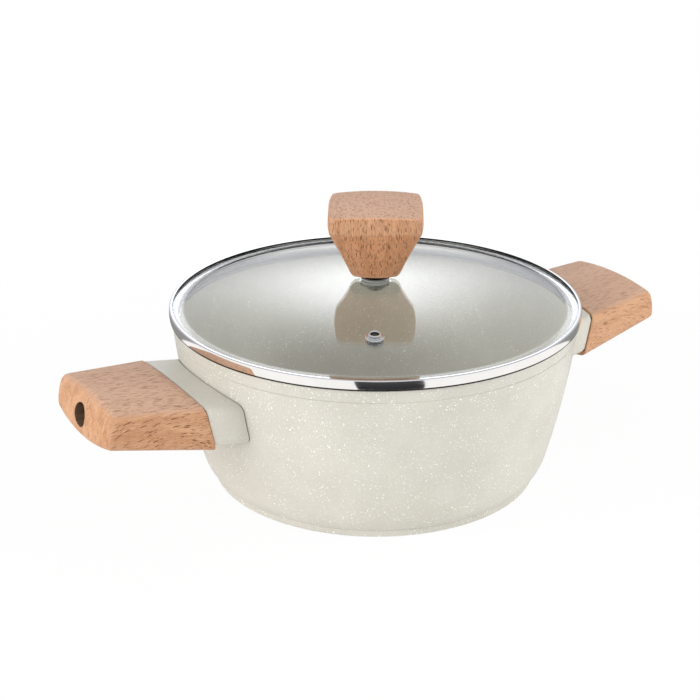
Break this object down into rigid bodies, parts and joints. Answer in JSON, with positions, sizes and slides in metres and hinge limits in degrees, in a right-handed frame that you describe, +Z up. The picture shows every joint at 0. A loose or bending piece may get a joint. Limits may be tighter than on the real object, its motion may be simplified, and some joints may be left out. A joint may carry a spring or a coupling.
{
  "type": "saucepan with glass lid",
  "caption": "Low round pan with a bowed coated wall, wooden side grips and a domed glass lid with a steel band, a steam vent and a cushion-shaped wooden knob.",
  "frame": {"origin": "centre of the underside, in the plane the foot ring stands on", "axes": "+Z up along the pot's axis, +X through the middle of the right grip, the left grip on -X"},
  "size_m": [0.385, 0.246, 0.168],
  "materials": {
    "coating": "satin cream stone-effect coating with fine white specks on cast aluminium",
    "plate_steel": "brushed ferritic steel",
    "grip_wood": "satin beech with short dark flecks",
    "knob_wood": "satin beech with short dark flecks",
    "glass": "clear polished tempered glass",
    "band_steel": "mirror-polished stainless steel",
    "vent_steel": "polished stainless steel",
    "seat_steel": "fine turned stainless steel",
    "fastener_steel": "plain zinc-plated steel",
    "gasket": "matte black silicone",
    "brass": "plain brass"
  },
  "bodies": {
    "pot": {"pot_body": "coating", "induction_plate": "plate_steel", "left_stud": "fastener_steel", "left_bracket": "coating", "left_pad": "gasket", "left_grip": "grip_wood", "left_flat_washer": "fastener_steel", "left_spring_washer": "fastener_steel", "left_screw": "fastener_steel", "right_stud": "fastener_steel", "right_bracket": "coating", "right_pad": "gasket", "right_grip": "grip_wood", "right_flat_washer": "fastener_steel", "right_spring_washer": "fastener_steel", "right_screw": "fastener_steel"},
    "lid": {"lid_glass": "glass", "lid_rim": "band_steel", "vent_eyelet": "vent_steel", "vent_washer": "vent_steel", "knob": "knob_wood", "knob_insert": "brass", "knob_seat": "seat_steel", "knob_gasket_upper": "gasket", "knob_gasket_lower": "gasket", "knob_washer": "fastener_steel", "knob_screw": "fastener_steel"}
  },
  "joints": [
    {"name": "lid_lift", "type": "slide", "parent": "pot", "child": "lid", "axis": [0, 0, 1], "range_m": [0, 0.12]}
  ]
}
